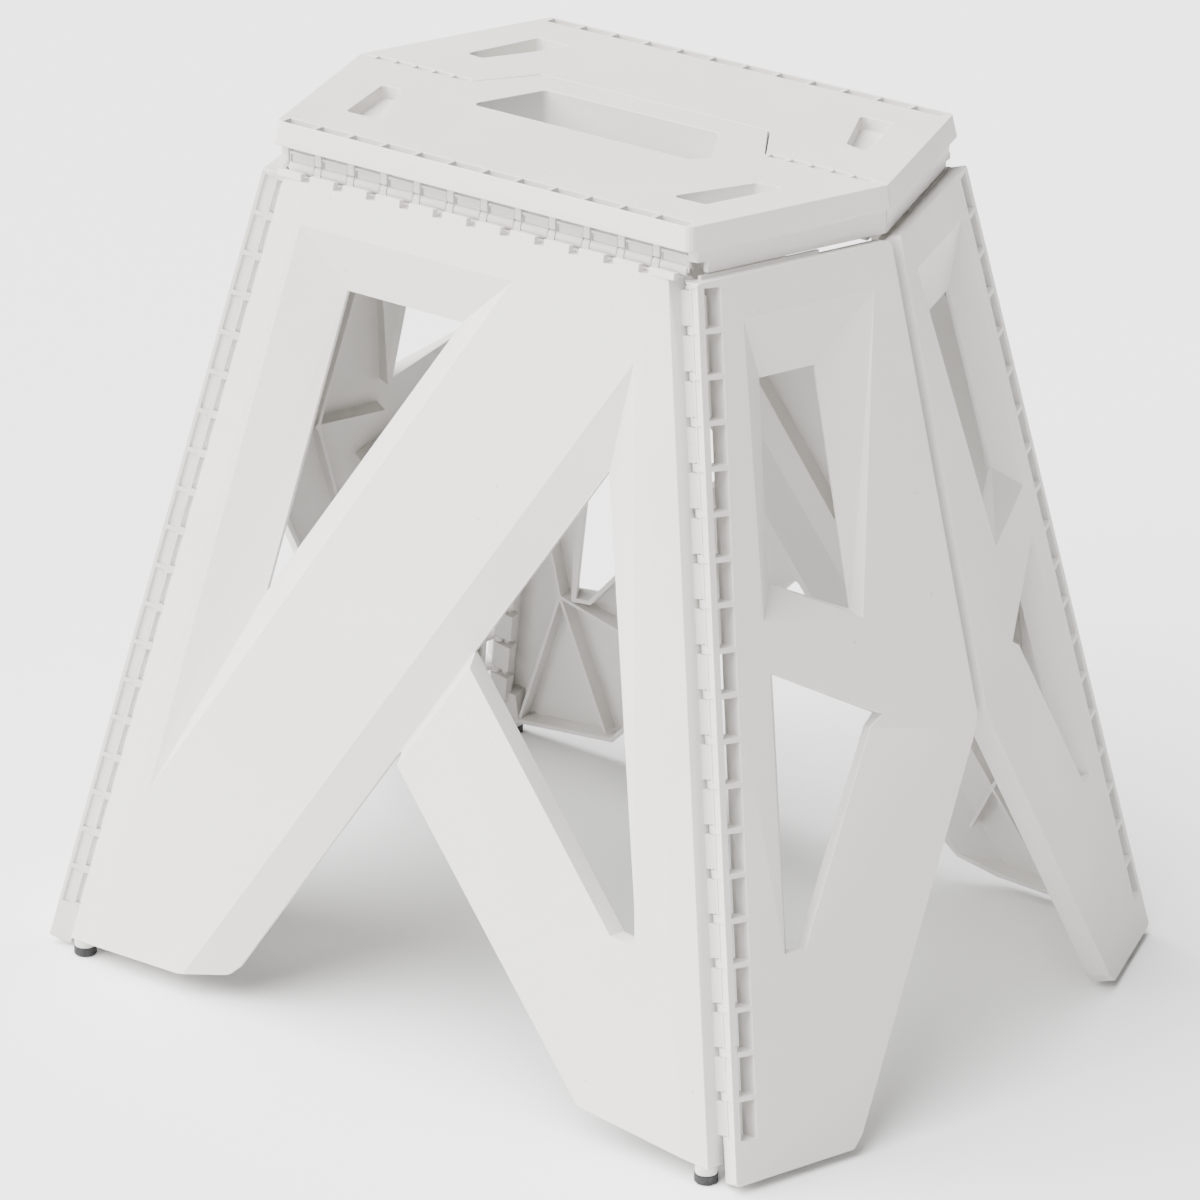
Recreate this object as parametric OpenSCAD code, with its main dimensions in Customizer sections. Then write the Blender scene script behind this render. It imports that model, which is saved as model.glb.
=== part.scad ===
// Folding step stool in moulded plastic: a six-sided seat in two halves stands on a front
// and a back panel and on two pairs of end panels. All eight plates are hinged to each
// other, so the stool folds flat when the middle of the seat is pulled up.
// X runs along the seat, Y from front to back, Z up. The origin is on the floor, below
// the middle of the seat.

/* [Seat] */
// Height of the seat above the floor
seat_h = 450; // [440:1:460]
// Half length of the seat's straight front and back edges
seat_edge_x = 125.4; // [122:0.2:128]
// Half width of the seat
seat_y = 111.2; // [110:0.2:112]
// Half length of the seat at its middle
seat_mid_x = 161.9; // [158:0.2:164]
// Height of the rim round the seat
rim_h = 11.7; // [10:0.1:12]
// How far the rim spreads from its top to its bottom edge
rim_draft = 2.4; // [1:0.1:3]
// Thickness of the seat's top plate
plate_t = 3.2; // [2.4:0.1:4]

/* [Folding] */
// Distance of the front and back fold lines from the middle
fold_y = 104.3; // [103:0.1:105]
// Depth of the front and back fold lines below the seat
fold_drop = 24.1; // [24:0.1:26]
// Depth of the centre fold line below the other two
centre_drop = 3.5; // [3.4:0.1:4]
// Half length of the hinge plane at the middle of the seat
mid_x = 155.41; // [154:0.01:157]
// Lean of the front and back panels
lean = 9.71; // [9:0.01:10.5]
// Outward turn of the end panels, seen from above
bow = 17.78; // [17:0.01:18.5]
// Lean of the end panels
end_lean = 14.07; // [13.5:0.01:14.6]

/* [Panels] */
// Thickness of the panels
panel_t = 12; // [11:0.1:12.2]
// Thickness of the outer skin
skin = 2.6; // [2:0.1:3]
// Thickness of the side walls
wall = 2.6; // [2.4:0.1:2.6]
// Thickness of the ribs inside
rib = 2; // [1.6:0.1:2.6]
// Depth of the straight lip at the back of each window
lip = 2; // [1:0.1:3]

/* [Hinges] */
// Outer radius of a hinge barrel
barrel_r = 3; // [2.8:0.1:3.1]
// Radius of a hinge pin
pin_r = 1.5; // [1.2:0.1:1.6]
// Radial clearance of a pin in its barrels
pin_gap = 0.06; // [0.03:0.01:0.09]
// Gap between neighbouring barrels
side_gap = 0.3; // [0.2:0.05:0.5]
// Spacing of the barrels at the front and back of the seat
seat_pitch = 20.6; // [20.4:0.1:20.6]
// Spacing of the barrels at the corners
corner_pitch = 21.7; // [21.5:0.1:21.8]
// Spacing of the barrels on the centre line
centre_pitch = 12.3; // [12:0.1:12.3]
// Length of the narrow barrels
narrow = 4.2; // [3.6:0.1:4.6]

/* [Handle] */
// Half length of the handle's tongue at the centre line
tongue_x = 89.5; // [86:0.5:91]
// Half length of the tongue at its back edge
tongue_tip_x = 70; // [66:0.5:72]
// How far the tongue passes the centre line
tongue_y = 30; // [28:0.5:32]

/* [Feet] */
// Diameter of a rubber foot
foot_d = 11.7; // [10:0.1:12]
// Height of the rubber that shows
foot_h = 5; // [4:0.1:6]

/* [Hidden] */
$fn = 32;

white = [0.93, 0.93, 0.92];
steel = [0.75, 0.76, 0.78];
black = [0.06, 0.06, 0.065];

// Fold geometry -------------------------------------------------------------
fold_z = seat_h - fold_drop;
centre_z = fold_z - centre_drop;
front_n = [0, -cos(lean), sin(lean)];
end_n = [cos(bow) * cos(end_lean), -sin(bow) * cos(end_lean), sin(end_lean)];
end_along = [sin(bow), cos(bow), 0];
end_up = cross(end_n, end_along);
// The corner fold line is where the two hinge planes meet
corner_top = [mid_x - fold_y * tan(bow), -fold_y, fold_z];
corner_dir = cross(end_n, front_n) / norm(cross(end_n, front_n));
front_up = [0, sin(lean), cos(lean)];
front_corner_a = atan2(corner_dir.x, -(corner_dir * front_up));
end_corner_a = atan2(corner_dir * end_along, -(corner_dir * end_up));
end_corner_x = (corner_top - [mid_x, 0, fold_z]) * end_along;
// Slope of the middle edge of an end panel, which lies in the plane Y = 0
mid_dir = [sin(end_lean), 0, -cos(bow) * cos(end_lean)];
mid_slope = (mid_dir * end_along) / -(mid_dir * end_up);

// Hinge layout: the plates' edges clear each other when the stool is folded flat
fold_gap = 0.4;
barrel_gap = 0.4;
edge_inset = 3.8;
edge_over = edge_inset - fold_gap;
edge_slant = 2;
seat_overhang = 2.4;
panel_setdown = seat_overhang + fold_gap;
corner_rungs = 19;
corner_start = 4.2;
seat_blocks = 12;
centre_blocks = 5;
centre_start = 90.2;
bore_r = pin_r + pin_gap;
seat_bore_x = 200;
corner_bore_y = [20, -460];
wide_seat = seat_pitch - narrow - 2 * side_gap;
wide_corner = corner_pitch - narrow - 2 * side_gap;
corner_len = corner_rungs * corner_pitch + narrow;

// Feet, below the outer corners of the front and back panels
foot_x = 198.4;
foot_y = 181;
foot_round = 0.8;
foot_stem_r = 3;
foot_stem_h = 12;
foot_seat_h = 5;
foot_seat_inset = 0.3;
foot_block = [16, 20];
foot_block_y = -424.5;

// Skirt below the rim
rim_z = seat_h - rim_h;
skirt_z = fold_z - 0.5;
strip_y = fold_y + seat_overhang;
skirt_inset = 2.4;
end_slope = (seat_mid_x - seat_edge_x) / seat_y;
split_gap = 0.15;
tongue_gap = 0.8;

// General helpers -----------------------------------------------------------
function unit(v) = v / norm(v);
function right_of(a, b) = let (d = unit(b - a)) [d.y, -d.x];
// Moves every edge of a counter-clockwise outline outwards by d
function grow(p, d) = let (n = len(p)) [for (i = [0 : n - 1])
    let (m = right_of(p[(i + n - 1) % n], p[i]), k = right_of(p[i], p[(i + 1) % n]))
    p[i] + d * (m + k) / (1 + m * k)];
// Rounds the corner b between a and c, and every corner of an outline
arc_steps = 4;
function arc_corner(a, b, c, r) = let (u = unit(a - b), w = unit(c - b), half = acos(u * w) / 2,
    centre = b + unit(u + w) * r / sin(half), start = b + u * r / tan(half) - centre,
    end = b + w * r / tan(half) - centre)
    [for (i = [0 : arc_steps]) centre + r * unit(start * (arc_steps - i) + end * i)];
function rounded(p, r) = let (n = len(p)) [for (i = [0 : n - 1])
    for (q = arc_corner(p[(i + n - 1) % n], p[i], p[(i + 1) % n], r)) q];
function flip_v(p) = [for (q = p) [q.x, -q.y]];
function at_z(p, z) = [for (q = p) [q.x, q.y, z]];

// Solid between a low outline at z0 and a high outline at z1, both counter-clockwise
module loft(low, high, z0, z1) {
    n = len(low);
    polyhedron(concat(at_z(low, z0), at_z(high, z1)), concat(
        [[for (i = [0 : n - 1]) i]],
        [[for (i = [n - 1 : -1 : 0]) n + i]],
        [for (i = [0 : n - 1]) [i, n + i, n + (i + 1) % n, (i + 1) % n]]), 4);
}

// Puts a shape drawn in a plate's own axes in its place
module in_frame(o, ex, ey, ez) {
    multmatrix([[ex.x, ey.x, ez.x, o.x], [ex.y, ey.y, ez.y, o.y],
        [ex.z, ey.z, ez.z, o.z], [0, 0, 0, 1]]) children();
}

// Plate axes: X along the plate, Y up its slope, Z outwards from the hinge plane
module at_front() in_frame([0, -fold_y, fold_z], [1, 0, 0], front_up, front_n) children();
module at_end() in_frame([mid_x, 0, fold_z], end_along, end_up, end_n) children();
module turned() rotate([0, 0, 180]) children();

// Corner hinge axes in a plate: Y up the fold line, X away from the front panel
module at_front_corner() translate([corner_top.x, 0, 0]) rotate([0, 0, front_corner_a]) children();
module at_end_corner() translate([end_corner_x, 0, 0]) rotate([0, 0, end_corner_a]) children();

// A rod along Y from y0 down to y1
module rod_y(r, y0, y1) translate([0, y0, 0]) rotate([90, 0, 0]) cylinder(r = r, h = y0 - y1);
// A rod along X
module rod_x(r, x0, x1) translate([x0, 0, 0]) rotate([0, 90, 0]) cylinder(r = r, h = x1 - x0);

// A straight rib between two points of a plate
module rib_line(a, b, z0, z1, t = rib) {
    d = b - a;
    translate([a.x, a.y, z0]) rotate([0, 0, atan2(d.y, d.x)])
        translate([-t, -t / 2, 0]) cube([norm(d) + 2 * t, t, z1 - z0]);
}

// Panels ----------------------------------------------------------------------
// A window is [outer edge, edge at the back], both counter-clockwise
module window_cut(w) {
    loft(w[1], w[0], lip, panel_t + 0.01);
    translate([0, 0, -1]) linear_extrude(lip + 1.01) polygon(w[1]);
}

// The walls that are left round a window
module window_wall(w) {
    g = [grow(w[0], wall), grow(w[1], wall)];
    loft(g[1], g[0], lip - skin, panel_t - skin + 0.01);
    translate([0, 0, -2]) linear_extrude(lip + 0.5) polygon(g[1]);
}

panel_corner_r = 2.2;

// A ribbed shell with windows; outline and ribs are in the plate's own axes, and
// children are solid blocks that the hollow leaves standing
module shell(outline, windows, ribs) {
    difference() {
        linear_extrude(panel_t) polygon(rounded(outline, panel_corner_r));
        for (w = windows) window_cut(w);
        difference() {
            translate([0, 0, -1]) linear_extrude(panel_t - skin + 1)
                polygon(grow(outline, -wall));
            for (w = windows) window_wall(w);
            for (r = ribs) rib_line(r[0], r[1], 1, panel_t);
            children();
        }
    }
}

// Front panel: points are [across, down the slope]
front_top_v = panel_setdown;
front_low_v = 424.5;
function front_side_x(v) = corner_top.x + v * tan(front_corner_a) - edge_inset / cos(front_corner_a);
// The diagonal brace has two parallel lines: the crease where its bevel starts, and the
// bevel's low edge
brace_slope = 0.617;
function crease_x(v) = 104.5 - brace_slope * (v - 46.8);
function brace_low_x(v) = 90.1 - brace_slope * (v - 104.9);
ledge = 0.5;
front_outline = flip_v([[-front_side_x(front_top_v), front_top_v],
    [-front_side_x(front_low_v), front_low_v], [-131, 422.5], [-105, 417.5],
    [brace_low_x(411.5) + ledge, 411.5], [brace_low_x(272) + ledge, 272],
    [124, 415.6], [front_side_x(front_low_v), front_low_v],
    [front_side_x(front_top_v), front_top_v]]);
front_window_big = [flip_v([[-102.9, 25], [-160.1, 331], [27.9, 25]]),
    flip_v([[-77, 53.5], [-107, 214.5], [-5.8, 53.5]])];
front_window_low = [flip_v([[104.2, 47.6], [brace_low_x(212) + ledge, 212], [131, 326], [146, 328]]),
    flip_v([[brace_low_x(105) + ledge, 105], [brace_low_x(212) + ledge, 212], [131, 326],
        [139.5, 327]])];
// The long bevel below the diagonal brace
bevel_end_v = 450;
front_bevel = [flip_v([[crease_x(46.8), 46.8], [crease_x(bevel_end_v), bevel_end_v],
        [brace_low_x(bevel_end_v) + 9, bevel_end_v], [brace_low_x(101) + 9, 101]]),
    flip_v([[brace_low_x(104), 104], [brace_low_x(bevel_end_v), bevel_end_v],
        [brace_low_x(bevel_end_v) + 2 * ledge, bevel_end_v], [brace_low_x(104) + 2 * ledge, 104]])];

front_bevel_wall = [grow(front_bevel[0], wall), grow(front_bevel[1], wall)];

front_ribs = [for (s = [[[-112, 8], [-146, 210]], [[-146, 210], [-150, 330]],
    [[-150, 330], [-185, 420]], [[-150, 330], [-115, 395]], [[-60, 8], [-30, 30]],
    [[40, 8], [70, 70]], [[70, 70], [12, 60]], [[70, 70], [20, 130]], [[20, 130], [-20, 100]],
    [[20, 130], [-40, 230]], [[-40, 230], [-70, 180]], [[-40, 230], [-95, 310]],
    [[-95, 310], [-130, 270]], [[-95, 310], [-150, 400]], [[110, 8], [128, 100]],
    [[128, 100], [160, 250]], [[160, 250], [152, 330]], [[152, 330], [190, 420]],
    [[152, 330], [100, 345]], [[100, 345], [60, 300]], [[60, 300], [30, 262]],
    [[152, 330], [130, 410]], [[-90, 30], [-134, 100]]])
    [[s[0].x, -s[0].y], [s[1].x, -s[1].y]]];

lip_notch_w = 5.6;
lip_notch_h = 1.4;
lip_notch_d = 6;

// Lips on the panel's outer top edge, which fold into the bays below the rim
panel_lip_w = 15;
panel_lip_t = 3.6;
panel_lip_v = 0.3;
module panel_lips() {
    for (i = [0 : seat_blocks - 1])
        translate([(i - (seat_blocks - 1) / 2) * seat_pitch, 0, 0])
            translate([-panel_lip_w / 2, -panel_setdown - 1, panel_t - panel_lip_t])
                cube([panel_lip_w, panel_setdown + 1 - panel_lip_v, panel_lip_t]);
}

// Stretches a cross-section over the whole length of a plate's side
side_start = -20;
side_len = 500;
module along_side() rotate([90, 0, 0]) translate([0, 0, side_start]) linear_extrude(side_len)
    children();

// Slanted side of a plate along a corner; x0 is the side's place on the hinge plane
module side_wedge(x0, reach) along_side()
    polygon([[x0 + edge_slant / panel_t, -1], [x0 - edge_slant * (1 + 1 / panel_t), panel_t + 1],
        [x0 + reach, panel_t + 1], [x0 + reach, -1]]);

// Band along each side of the panel's face, which slopes down towards the corner
band_w = 17;
band_drop = 1.2;
module front_bands() {
    edge = -edge_inset;
    past = 6;
    for (m = [0, 1]) mirror([m, 0, 0]) at_front_corner()
        along_side()
            polygon([[edge - 2 * band_w, panel_t + band_drop], [edge, panel_t - band_drop],
                [edge + past, panel_t - band_drop], [edge + past, panel_t + band_drop]]);
}

module front_hooks() {
    for (i = [1 : seat_blocks - 1]) translate([(i - seat_blocks / 2) * seat_pitch, 0, 0]) {
        rod_x(barrel_r, -narrow / 2, narrow / 2);
        translate([-narrow / 2, -8, -barrel_r]) cube([narrow, 8, 2 * barrel_r]);
    }
}

// Notches in the outer lip of the panel, one in front of each hook
module lip_notches() {
    for (i = [1 : seat_blocks - 1]) translate([(i - seat_blocks / 2) * seat_pitch, 0, 0])
        translate([-lip_notch_w / 2, -panel_setdown - lip_notch_h, panel_t - lip_notch_d])
            cube([lip_notch_w, lip_notch_h + 1, lip_notch_d + 1]);
}

module front_corner_barrels() {
    for (i = [0 : corner_rungs - 1])
        let (top = -corner_start - narrow - side_gap - i * corner_pitch) {
            rod_y(barrel_r, top, top - wide_corner);
            translate([-edge_inset - 6, top - wide_corner, -barrel_r])
                cube([edge_inset + 6, wide_corner, 2 * barrel_r]);
        }
}

module front_shape() {
    difference() {
        union() {
            difference() {
                shell(front_outline, [front_window_big, front_window_low], front_ribs) {
                    loft(front_bevel_wall[1], front_bevel_wall[0], lip - skin, panel_t - skin);
                    for (s = [-1, 1]) translate([s * foot_x - foot_block.x / 2, foot_block_y, 0])
                        cube([foot_block.x, foot_block.y, panel_t]);
                }
                loft(front_bevel[1], front_bevel[0], lip, panel_t + 0.01);
                lip_notches();
                for (m = [0, 1]) mirror([m, 0, 0]) at_front_corner() side_wedge(-edge_inset, 9);
                front_bands();
                // Room for the wide barrels of the seat
                for (i = [0 : seat_blocks - 1])
                    translate([(i - (seat_blocks - 1) / 2) * seat_pitch, 0, 0])
                        translate([-wide_seat / 2 - side_gap, -barrel_r - barrel_gap, -1])
                            cube([wide_seat + 2 * side_gap, 6, barrel_r + barrel_gap + 1]);
            }
            front_hooks();
            panel_lips();
            for (m = [0, 1]) mirror([m, 0, 0]) at_front_corner() front_corner_barrels();
        }
        rod_x(bore_r, -seat_bore_x, seat_bore_x);
        for (m = [0, 1]) mirror([m, 0, 0]) at_front_corner()
            rod_y(bore_r, corner_bore_y[0], corner_bore_y[1]);
    }
}

module front_panel() color(white) difference() {
    union() {
        at_front() front_shape();
        // Seats of the rubber feet
        for (s = [-1, 1]) translate([s * foot_x, -foot_y, foot_h])
            cylinder(d = foot_d - 2 * foot_seat_inset, h = foot_seat_h);
    }
    for (s = [-1, 1]) translate([s * foot_x, -foot_y, foot_h - 1])
        cylinder(r = foot_stem_r, h = foot_stem_h + 1);
}
module back_panel() turned() front_panel();

// End panel: X runs towards the middle edge
end_low_v = 437;
function end_side_x(v) = end_corner_x + v * tan(end_corner_a) - (edge_over + edge_slant) / cos(end_corner_a);
mid_edge_gap = 0.35;
function mid_edge_x(v) = v * mid_slope - mid_edge_gap;
knee_v = 243;
end_top_v = 4.6;
end_outline = flip_v([[end_side_x(end_top_v), end_top_v], [end_side_x(end_low_v), end_low_v],
    [-86, end_low_v], [-80, 431], [mid_edge_x(knee_v + 6) - 2, knee_v + 6],
    [mid_edge_x(knee_v), knee_v], [mid_edge_x(end_top_v), end_top_v]]);
end_window_up = [flip_v([[-91.6, 26.8], [-101, 170], [-43.2, 181], [-13.8, 27.1]]),
    flip_v([[-79.5, 57], [-89, 155], [-42.5, 178], [-46.4, 57]])];
end_window_low = [flip_v([[-101, 195.9], [-112.5, 331.7], [-100.2, 331.8], [-46.6, 234.6],
    [-38.4, 229.9]]), flip_v([[-93, 199], [-104.5, 333], [-97, 334], [-42, 236], [-36, 231]])];

end_ribs = [for (s = [[[-96, 8], [-92, 60]], [[-92, 60], [-112, 180]], [[-112, 180], [-96, 184]],
    [[-112, 180], [-122, 340]], [[-122, 340], [-140, 430]], [[-122, 340], [-95, 432]],
    [[-60, 8], [-20, 22]], [[-5, 8], [-12, 110]], [[-12, 110], [-36, 130]],
    [[-12, 110], [0, 200]], [[0, 200], [-40, 200]], [[0, 200], [-20, 250]],
    [[-20, 250], [-60, 340]], [[-60, 340], [-110, 360]], [[-60, 340], [-92, 425]]])
    [[s[0].x, -s[0].y], [s[1].x, -s[1].y]]];

end_lip_x = [-108, -38];
end_lip_v = 2.4;
end_lip_z = [2.4, 5];

ladder_x0 = -1.4;
ladder_w = 9.3;
rung_t = 2.6;

module ladder_windows() {
    for (i = [0 : corner_rungs - 1])
        let (top = -corner_start - narrow / 2 - i * corner_pitch - rung_t / 2)
            translate([ladder_x0, top - corner_pitch + rung_t, -4])
                cube([ladder_w, corner_pitch - rung_t, panel_t + 8]);
}

// Shallow pockets in the edge that faces the neighbouring panel
edge_pocket_x = 0.2;
edge_pocket_z = [5.2, 10];
module edge_pockets() {
    for (i = [0 : corner_rungs - 1])
        let (top = -corner_start - narrow / 2 - i * corner_pitch - rung_t / 2)
            translate([-edge_over - edge_slant - 1, top - corner_pitch + rung_t, edge_pocket_z[0]])
                cube([edge_slant + 1 - edge_pocket_x, corner_pitch - rung_t,
                    edge_pocket_z[1] - edge_pocket_z[0]]);
}

module end_barrels() {
    for (i = [0 : corner_rungs])
        let (top = -corner_start - i * corner_pitch) {
            rod_y(barrel_r, top, top - narrow);
            translate([-edge_over, top - narrow, 0])
                cube([edge_over + barrel_r, narrow, barrel_r + 1]);
        }
}

// Room for the front panel's barrels
module end_barrel_room() {
    for (i = [0 : corner_rungs - 1])
        let (top = -corner_start - narrow - i * corner_pitch)
            translate([-edge_over - 1, top - wide_corner - 2 * side_gap, -4])
                cube([edge_over + 1 + barrel_r + barrel_gap, wide_corner + 2 * side_gap,
                    4 + barrel_r + barrel_gap]);
}

module end_shape() {
    difference() {
        union() {
            difference() {
                union() {
                    shell(end_outline, [end_window_up, end_window_low], end_ribs);
                    intersection() {
                        at_end_corner()
                            translate([-edge_over - edge_slant, -corner_start - corner_len, 0])
                                cube([edge_over + edge_slant + ladder_x0 + ladder_w + wall,
                                    corner_len, panel_t]);
                        linear_extrude(panel_t)
                            polygon(rounded(end_outline, panel_corner_r));
                    }
                }
                at_end_corner() {
                    ladder_windows();
                    edge_pockets();
                    side_wedge(-edge_over, -9);
                    end_barrel_room();
                }
            }
            at_end_corner() end_barrels();
            // Low lip that closes the view under the skirt of the seat
            translate([end_lip_x[0], -end_top_v - 1, end_lip_z[0]])
                cube([end_lip_x[1] - end_lip_x[0], end_top_v + 1 - end_lip_v,
                    end_lip_z[1] - end_lip_z[0]]);
        }
        at_end_corner() rod_y(bore_r, corner_bore_y[0], corner_bore_y[1]);
    }
}

module right_front_end() color(white) difference() {
    at_end() end_shape();
    // The middle edges are cut square to the stool and stay apart
    translate([0, -split_gap, 0]) cube([400, 20, 600]);
}
module right_back_end() mirror([0, 1, 0]) right_front_end();
module left_front_end() mirror([1, 0, 0]) right_front_end();
module left_back_end() turned() right_front_end();

// Seat ------------------------------------------------------------------------
function side_x(y, mid, slope) = mid - abs(y) * slope;
rim_top = [[-seat_edge_x, -seat_y], [seat_edge_x, -seat_y], [seat_mid_x, 0],
    [seat_edge_x, seat_y], [-seat_edge_x, seat_y], [-seat_mid_x, 0]];
rim_low = grow(rim_top, rim_draft);
skirt_mid = rim_low[2].x - skirt_inset * 1.05;
skirt_out = [[-side_x(strip_y, skirt_mid, end_slope), -strip_y],
    [side_x(strip_y, skirt_mid, end_slope), -strip_y], [skirt_mid, 0],
    [side_x(strip_y, skirt_mid, end_slope), strip_y],
    [-side_x(strip_y, skirt_mid, end_slope), strip_y], [-skirt_mid, 0]];
slot_hand = [[-68.2, -29.6], [66.5, -29.6], [72.8, -21], [54, 12], [-53, 12]];
pocket_depth = 7;
pocket_left = [[-120.6, -34], [-108.3, -78], [-86, -77.5], [-109.7, -33.2]];
pocket_right = [[111.5, -38], [91.5, -79.4], [111, -78.8], [126.4, -34.8]];
// Row of open slots along the front and back edges of the seat
edge_slot_y = seat_y - 7.4;
edge_slot_w = 6.3;
edge_slot_d = 9;
edge_web = 2.6;
// Strip below the rim: upright rungs with a framed pocket in each bay
bay_w = 16.6;
bay_d = 0.6;
bay_pocket_w = 14.6;
bay_pocket_h = [5.8, 10.6];
bay_pocket_d = 1.6;
lip_bay_w = panel_lip_w + 2 * fold_gap;
lip_bay_z = fold_z + panel_t - panel_lip_t - fold_gap;
lip_bay_d = strip_y - fold_y + 0.2;
bay_back = 5.4;

rim_corner_r = 5;
skirt_corner_r = 2.5;
slot_corner_r = 3.5;
pocket_corner_r = 2.5;

module seat_block() {
    loft(rounded(rim_low, rim_corner_r), rounded(rim_top, rim_corner_r), rim_z, seat_h);
    translate([0, 0, skirt_z]) linear_extrude(rim_z - skirt_z + 0.01)
        polygon(rounded(skirt_out, skirt_corner_r));
}

module seat_pocket(p) translate([0, 0, seat_h - pocket_depth])
    linear_extrude(pocket_depth + 1) polygon(rounded(p, pocket_corner_r));

module seat_pocket_wall(p) translate([0, 0, seat_h - pocket_depth - skin])
    linear_extrude(pocket_depth + skin) polygon(grow(p, wall));

module seat_edge_slots() {
    for (i = [0 : seat_blocks - 1])
        translate([(i - (seat_blocks - 1) / 2) * seat_pitch, 0, 0])
            translate([(edge_web - seat_pitch) / 2, -edge_slot_y - edge_slot_w, seat_h - edge_slot_d])
                cube([seat_pitch - edge_web, edge_slot_w, edge_slot_d + 1]);
}

module strip_bays() {
    for (i = [0 : seat_blocks - 1])
        translate([(i - (seat_blocks - 1) / 2) * seat_pitch, -strip_y, 0]) {
            translate([-bay_w / 2, -1, skirt_z - 1])
                cube([bay_w, 1 + bay_d, rim_z - skirt_z + 1]);
            translate([-bay_pocket_w / 2, -1, rim_z - bay_pocket_h[1]])
                cube([bay_pocket_w, 1 + bay_pocket_d, bay_pocket_h[1] - bay_pocket_h[0]]);
            translate([-lip_bay_w / 2, -1, lip_bay_z])
                cube([lip_bay_w, 1 + lip_bay_d, rim_z - lip_bay_z]);
        }
}

// Notches at the corners of the skirt, which the end panels' corners pass through
corner_notch_x = 122.4;
corner_notch_y = 100.5;
corner_notch_h = 6;
module corner_notches() {
    for (s = [0, 1]) mirror([s, 0, 0]) translate([corner_notch_x, -corner_notch_y - 10, skirt_z - 1])
        cube([20, 10, corner_notch_h + 1]);
}

// Row of small slots along the centre line, beside the tongue
line_slot_x = 92.5;
line_slot_w = 2.1;
line_slot_d = 2.6;
line_web = 2.6;
module line_slots() {
    for (s = [-1, 1]) for (i = [0 : centre_blocks - 1])
        let (x0 = line_slot_x + i * centre_pitch)
            translate([s < 0 ? -x0 - centre_pitch + line_web : x0, -line_slot_w, seat_h - line_slot_d])
                cube([centre_pitch - line_web, 2 * line_slot_w, line_slot_d + 1]);
}

module tongue(extra) translate([0, 0, skirt_z - 4]) linear_extrude(60)
    polygon([[-tongue_x - extra, -20], [tongue_x + extra, -20], [tongue_x + extra, 0],
        [tongue_tip_x + extra, tongue_y + extra], [-tongue_tip_x - extra, tongue_y + extra],
        [-tongue_x - extra, 0]]);

module front_half_space() {
    translate([-300, -300, 300]) cube([600, 300 - split_gap, 300]);
    tongue(0);
}

module back_half_space() difference() {
    translate([-300, split_gap, 300]) cube([600, 300, 300]);
    tongue(tongue_gap);
}

seat_rib_xs = [-112, -70, -28, 28, 70, 112];

// Everything that is kept when the underside is hollowed out
module seat_keep() {
    translate([0, 0, seat_h - 30]) linear_extrude(30) polygon(grow(slot_hand, wall));
    for (x = seat_rib_xs) translate([x - rib / 2, -130, skirt_z]) cube([rib, 260, 30]);
    for (y = [-66, 66]) translate([-170, y - rib / 2, skirt_z]) cube([340, rib, 30]);
    for (s = [-1, 1]) translate([-170, s * (strip_y - bay_back / 2) - bay_back / 2, lip_bay_z - 2])
        cube([340, bay_back, seat_h - lip_bay_z + 2]);
    for (s = [-1, 1]) translate([-170, s * (wall / 2 + split_gap) - wall / 2, skirt_z])
        cube([340, wall, 30]);
}

// Upright walls round the tongue, on both sides of its gap
module tongue_walls() difference() {
    tongue(tongue_gap + wall);
    translate([0, 0, -1]) tongue(-wall);
    translate([-300, -100, 300]) cube([600, 100 - wall, 300]);
}

module seat_shell() difference() {
    seat_block();
    translate([0, 0, seat_h - 60]) linear_extrude(120) polygon(rounded(slot_hand, slot_corner_r));
    line_slots();
    for (t = [0, 180]) rotate([0, 0, t]) {
        seat_edge_slots();
        strip_bays();
        corner_notches();
    }
    for (m = [0, 1]) mirror([0, m, 0]) {
        seat_pocket(pocket_left);
        seat_pocket(pocket_right);
    }
    difference() {
        translate([0, 0, skirt_z - 1]) linear_extrude(seat_h - plate_t - skirt_z + 1)
            polygon(grow(skirt_out, -wall));
        seat_keep();
        tongue_walls();
        for (m = [0, 1]) mirror([0, m, 0]) {
            seat_pocket_wall(pocket_left);
            seat_pocket_wall(pocket_right);
        }
    }
}

// Wide barrels of the seat on the front fold line; their outer side is flush with the strip
barrel_lip = 1.9;
module seat_barrels() translate([0, -fold_y, fold_z])
    for (i = [0 : seat_blocks - 1]) translate([(i - (seat_blocks - 1) / 2) * seat_pitch, 0, 0]) {
        rod_x(barrel_r, -wide_seat / 2, wide_seat / 2);
        translate([-wide_seat / 2, 0, -barrel_r]) cube([wide_seat, barrel_r, barrel_r + 2]);
        translate([-wide_seat / 2, bay_d - seat_overhang, -barrel_lip])
            cube([wide_seat, seat_overhang, barrel_lip + 1]);
    }

// Room in the seat for the hooks of the panel
module seat_hook_room() translate([0, -fold_y, fold_z])
    for (i = [1 : seat_blocks - 1]) translate([(i - seat_blocks / 2) * seat_pitch, 0, 0])
        translate([-narrow / 2 - side_gap, -6, -8])
            cube([narrow + 2 * side_gap, 6 + barrel_r + barrel_gap, 8 + barrel_r + barrel_gap]);

// Centre barrels: part 0 belongs to the front half, part 1 to the back half
module centre_barrels(part) {
    half = centre_pitch / 2;
    for (s = [-1, 1]) for (i = [0 : centre_blocks - 1])
        let (x0 = s * (centre_start + i * centre_pitch) + (s < 0 ? -centre_pitch : 0)
            + (part == 0 ? 0 : half) + side_gap / 2)
            translate([x0, 0, centre_z]) {
                rod_x(barrel_r, 0, half - side_gap);
                translate([0, part == 0 ? -5 : 0, -0.5])
                    cube([half - side_gap, 5, skirt_z - centre_z + 2]);
            }
}

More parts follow.
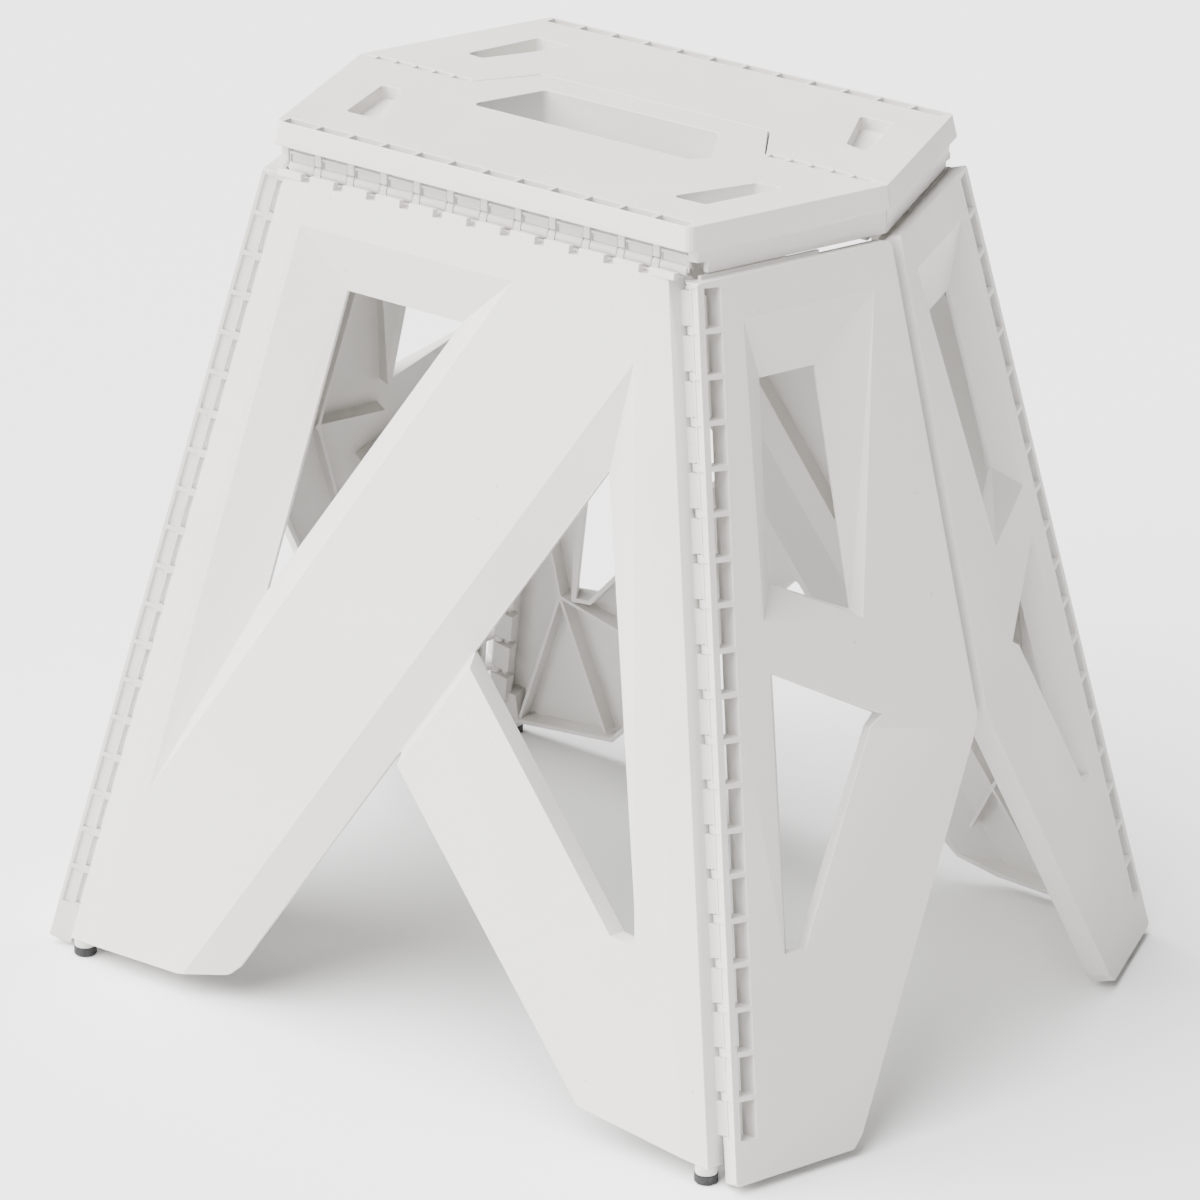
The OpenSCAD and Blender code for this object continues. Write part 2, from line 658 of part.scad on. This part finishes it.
// Room in one half for the other half's barrels
module centre_room(part) {
    half = centre_pitch / 2;
    for (s = [-1, 1]) for (i = [0 : centre_blocks - 1])
        let (x0 = s * (centre_start + i * centre_pitch) + (s < 0 ? -centre_pitch : 0)
            + (part == 0 ? half : 0) - side_gap / 2)
            translate([x0, -barrel_r - barrel_gap, centre_z - 4])
                cube([half + side_gap, 2 * (barrel_r + barrel_gap), 4 + barrel_r + barrel_gap]);
}

module centre_bores() translate([0, 0, centre_z]) rod_x(bore_r, -seat_bore_x, seat_bore_x);

module top_front() color(white) difference() {
    union() {
        difference() {
            intersection() {
                seat_shell();
                front_half_space();
            }
            seat_hook_room();
            centre_room(0);
        }
        seat_barrels();
        centre_barrels(0);
    }
    translate([0, -fold_y, fold_z]) rod_x(bore_r, -seat_bore_x, seat_bore_x);
    centre_bores();
}

module top_back() color(white) difference() {
    union() {
        difference() {
            intersection() {
                seat_shell();
                back_half_space();
            }
            turned() seat_hook_room();
            centre_room(1);
        }
        turned() seat_barrels();
        centre_barrels(1);
    }
    turned() translate([0, -fold_y, fold_z]) rod_x(bore_r, -seat_bore_x, seat_bore_x);
    centre_bores();
}

// Pins --------------------------------------------------------------------------
seat_pin_x = (seat_blocks - 1) / 2 * seat_pitch + wide_seat / 2;
module seat_pin() translate([0, -fold_y, fold_z]) rod_x(pin_r, -seat_pin_x, seat_pin_x);
module front_top_pin() color(steel) seat_pin();
module back_top_pin() color(steel) turned() seat_pin();

centre_pin_len = centre_blocks * centre_pitch;
module centre_pin_right() color(steel) translate([centre_start, 0, centre_z])
    rod_x(pin_r, 0, centre_pin_len);
module centre_pin_left() color(steel) translate([-centre_start - centre_pin_len, 0, centre_z])
    rod_x(pin_r, 0, centre_pin_len);

module right_front_corner_pin() color(steel) at_front() at_front_corner()
    rod_y(pin_r, -corner_start, -corner_start - corner_len);
module right_back_corner_pin() mirror([0, 1, 0]) right_front_corner_pin();
module left_front_corner_pin() mirror([1, 0, 0]) right_front_corner_pin();
module left_back_corner_pin() turned() right_front_corner_pin();

// Feet ---------------------------------------------------------------------------
module foot_front_right() color(black) translate([foot_x, -foot_y, 0]) {
    cylinder(d1 = foot_d - 2 * foot_round, d2 = foot_d, h = foot_round);
    translate([0, 0, foot_round]) cylinder(d = foot_d, h = foot_h - foot_round);
    translate([0, 0, foot_h - 1]) cylinder(r = foot_stem_r, h = foot_stem_h + 1);
}
module foot_front_left() mirror([1, 0, 0]) foot_front_right();
module foot_back_right() mirror([0, 1, 0]) foot_front_right();
module foot_back_left() turned() foot_front_right();

top_front();
top_back();
front_panel();
back_panel();
right_front_end();
right_back_end();
left_front_end();
left_back_end();
front_top_pin();
back_top_pin();
centre_pin_left();
centre_pin_right();
right_front_corner_pin();
right_back_corner_pin();
left_front_corner_pin();
left_back_corner_pin();
foot_front_right();
foot_front_left();
foot_back_right();
foot_back_left();
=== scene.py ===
"""White moulded-plastic folding step stool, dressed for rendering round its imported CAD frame."""
import math

import bpy
from mathutils import Matrix, Vector

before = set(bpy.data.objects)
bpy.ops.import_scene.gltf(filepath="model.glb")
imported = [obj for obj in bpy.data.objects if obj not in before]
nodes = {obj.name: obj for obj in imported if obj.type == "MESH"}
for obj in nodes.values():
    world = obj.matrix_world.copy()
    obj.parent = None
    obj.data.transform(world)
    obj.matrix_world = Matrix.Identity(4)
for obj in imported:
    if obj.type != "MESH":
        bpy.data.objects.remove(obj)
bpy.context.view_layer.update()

MM = 0.001
PLASTIC_NODES = [n for n in nodes if "pin" not in n and not n.startswith("foot")]
PIN_NODES = [n for n in nodes if "pin" in n]
FOOT_NODES = [n for n in nodes if n.startswith("foot")]


# ---------------------------------------------------------------- materials
class Graph:
    """A short way to write a node material."""

    def __init__(self, name):
        self.material = bpy.data.materials.new(name)
        self.material.use_nodes = True
        self.tree = self.material.node_tree
        self.shader = self.tree.nodes["Principled BSDF"]
        coordinates = self.add("ShaderNodeTexCoord")
        self.place = coordinates.outputs["Object"]

    def add(self, kind, **settings):
        node = self.tree.nodes.new(kind)
        for key, value in settings.items():
            setattr(node, key, value)
        return node

    def link(self, output, socket):
        self.tree.links.new(output, socket)

    def noise(self, scale, detail=3.0, roughness=0.5):
        node = self.add("ShaderNodeTexNoise")
        self.link(self.place, node.inputs["Vector"])
        node.inputs["Scale"].default_value = scale
        node.inputs["Detail"].default_value = detail
        node.inputs["Roughness"].default_value = roughness
        return node.outputs["Fac"]

    def ramp(self, source, stops):
        node = self.add("ShaderNodeValToRGB")
        self.link(source, node.inputs["Fac"])
        ends = node.color_ramp.elements
        while len(ends) < len(stops):
            ends.new(0.5)
        for end, (position, colour) in zip(ends, stops):
            end.position = position
            end.color = (*colour, 1.0)
        return node.outputs["Color"]

    def map_range(self, source, low, high, to_low, to_high):
        node = self.add("ShaderNodeMapRange")
        self.link(source, node.inputs["Value"])
        settings = {"From Min": low, "From Max": high, "To Min": to_low, "To Max": to_high}
        for key, value in settings.items():
            node.inputs[key].default_value = value
        return node.outputs["Result"]

    def blend(self, amount, colour, other):
        node = self.add("ShaderNodeMix", data_type="RGBA")
        self.link(amount, node.inputs["Factor"])
        self.link(colour, node.inputs["A"])
        node.inputs["B"].default_value = (*other, 1.0)
        return node.outputs["Result"]

    def bump(self, height, distance, strength=1.0, normal=None):
        node = self.add("ShaderNodeBump")
        node.inputs["Distance"].default_value = distance
        node.inputs["Strength"].default_value = strength
        self.link(height, node.inputs["Height"])
        if normal is not None:
            self.link(normal, node.inputs["Normal"])
        return node.outputs["Normal"]


def white_plastic():
    """Injection-moulded white polypropylene: fine spark-eroded grain, a soft sheen, faint flow
    mottling, and a few specks of dirt."""
    g = Graph("white_plastic")
    mottle = g.noise(9.0, 4.0, 0.55)
    colour = g.ramp(mottle, [(0.30, (0.645, 0.626, 0.594)), (0.70, (0.680, 0.662, 0.632))])
    specks = g.map_range(g.noise(330.0, 1.0, 0.4), 0.80, 0.84, 0.0, 0.55)
    g.link(g.blend(specks, colour, (0.34, 0.30, 0.25)), g.shader.inputs["Base Color"])
    smears = g.noise(18.0, 5.0, 0.62)
    g.link(g.map_range(smears, 0.3, 0.7, 0.38, 0.52), g.shader.inputs["Roughness"])
    grain = g.noise(2600.0, 2.0, 0.6)
    waves = g.noise(28.0, 2.0, 0.5)
    soft = g.bump(waves, 0.00035, 0.6)
    g.link(g.bump(grain, 0.00004, 0.55, soft), g.shader.inputs["Normal"])
    g.shader.inputs["IOR"].default_value = 1.49
    return g.material


def drawn_steel():
    """Bright drawn wire: fine scratches along the pin and a little tarnish."""
    g = Graph("steel_pin")
    colour = g.ramp(g.noise(300.0), [(0.3, (0.52, 0.52, 0.53)), (0.7, (0.66, 0.66, 0.67))])
    g.link(colour, g.shader.inputs["Base Color"])
    g.link(g.map_range(g.noise(900.0, 2.0), 0.3, 0.7, 0.22, 0.38), g.shader.inputs["Roughness"])
    g.link(g.bump(g.noise(4000.0), 0.00002, 0.4), g.shader.inputs["Normal"])
    g.shader.inputs["Metallic"].default_value = 1.0
    return g.material


def black_rubber():
    """Matt black rubber with fine grain and dust on its high spots."""
    g = Graph("rubber_foot")
    colour = g.ramp(g.noise(400.0, 4.0), [(0.35, (0.010, 0.010, 0.011)), (0.75, (0.028, 0.028, 0.030))])
    g.link(colour, g.shader.inputs["Base Color"])
    g.link(g.map_range(g.noise(700.0), 0.3, 0.7, 0.55, 0.75), g.shader.inputs["Roughness"])
    g.link(g.bump(g.noise(2500.0, 3.0), 0.00005, 0.6), g.shader.inputs["Normal"])
    return g.material


def paint(names, material):
    for name in names:
        mesh = nodes[name].data
        mesh.materials.clear()
        mesh.materials.append(material)


paint(PLASTIC_NODES, white_plastic())
paint(PIN_NODES, drawn_steel())
paint(FOOT_NODES, black_rubber())


# ---------------------------------------------------------------- moulded edges
BEVEL_SEGMENTS = 2
BEVEL_FROM_DEGREES = 28


def soften(name, width, weld_within):
    """Rounds the sharp edges of a CAD node, as a mould leaves them. Welding close corners first
    keeps the rounding from running away at slivers."""
    node = nodes[name]
    weld = node.modifiers.new("weld", "WELD")
    weld.merge_threshold = weld_within
    bevel = node.modifiers.new("edges", "BEVEL")
    bevel.width = width
    bevel.segments = BEVEL_SEGMENTS
    bevel.limit_method = "ANGLE"
    bevel.angle_limit = math.radians(BEVEL_FROM_DEGREES)
    bevel.use_clamp_overlap = False
    bevel.harden_normals = True
    bevel.loop_slide = False


for name in PLASTIC_NODES:
    if name.startswith("top"):
        soften(name, 0.4 * MM, 0.01 * MM)
    elif name.endswith("end"):
        soften(name, 0.38 * MM, 0.3 * MM)
    else:
        soften(name, 0.25 * MM, 0.3 * MM)


# ---------------------------------------------------------------- studio
CAMERA_PLACE = (1.6771, -2.2742, 1.3777)
CAMERA_AZIMUTH = 36.49
CAMERA_ELEVATION = 22.77
CAMERA_ROLL = 1.02
FOCAL_PX = 6014.5
IMAGE_PX = 1200
SENSOR_MM = 36.0


def make_camera():
    data = bpy.data.cameras.new("camera")
    data.sensor_width = SENSOR_MM
    data.lens = SENSOR_MM * FOCAL_PX / IMAGE_PX
    data.clip_end = 30
    camera = bpy.data.objects.new("camera", data)
    bpy.context.scene.collection.objects.link(camera)
    camera.location = CAMERA_PLACE
    azimuth, elevation = math.radians(CAMERA_AZIMUTH), math.radians(CAMERA_ELEVATION)
    look = Vector((-math.sin(azimuth) * math.cos(elevation), math.cos(azimuth) * math.cos(elevation),
                   -math.sin(elevation)))
    turn = look.to_track_quat("-Z", "Y").to_matrix().to_4x4()
    turn = turn @ Matrix.Rotation(math.radians(CAMERA_ROLL), 4, "Z")
    turn.translation = CAMERA_PLACE
    camera.matrix_world = turn
    bpy.context.scene.camera = camera


def make_floor():
    bpy.ops.mesh.primitive_plane_add(size=14, location=(0, 0, 0))
    floor = bpy.context.object
    floor.name = "floor"
    g = Graph("floor")
    colour = g.ramp(g.noise(1.5), [(0.3, (0.885, 0.885, 0.885)), (0.7, (0.895, 0.895, 0.895))])
    g.link(colour, g.shader.inputs["Base Color"])
    g.shader.inputs["Roughness"].default_value = 0.9
    floor.data.materials.append(g.material)


def soft_sun(name, towards, strength, spread):
    data = bpy.data.lights.new(name, "SUN")
    data.energy = strength
    data.angle = math.radians(spread)
    light = bpy.data.objects.new(name, data)
    bpy.context.scene.collection.objects.link(light)
    light.rotation_euler = Vector(towards).to_track_quat("Z", "Y").to_euler()


def make_world(strength):
    world = bpy.data.worlds.new("studio")
    world.use_nodes = True
    back = world.node_tree.nodes["Background"]
    back.inputs["Color"].default_value = (1.0, 1.0, 1.0, 1.0)
    back.inputs["Strength"].default_value = strength
    bpy.context.scene.world = world


KEY_TOWARDS = (-0.42, -0.47, 0.79)
KEY_STRENGTH = 15.5
KEY_SPREAD_DEGREES = 85
FILL_STRENGTH = 0.10

make_camera()
make_floor()
make_world(FILL_STRENGTH)
soft_sun("key", KEY_TOWARDS, KEY_STRENGTH, KEY_SPREAD_DEGREES)
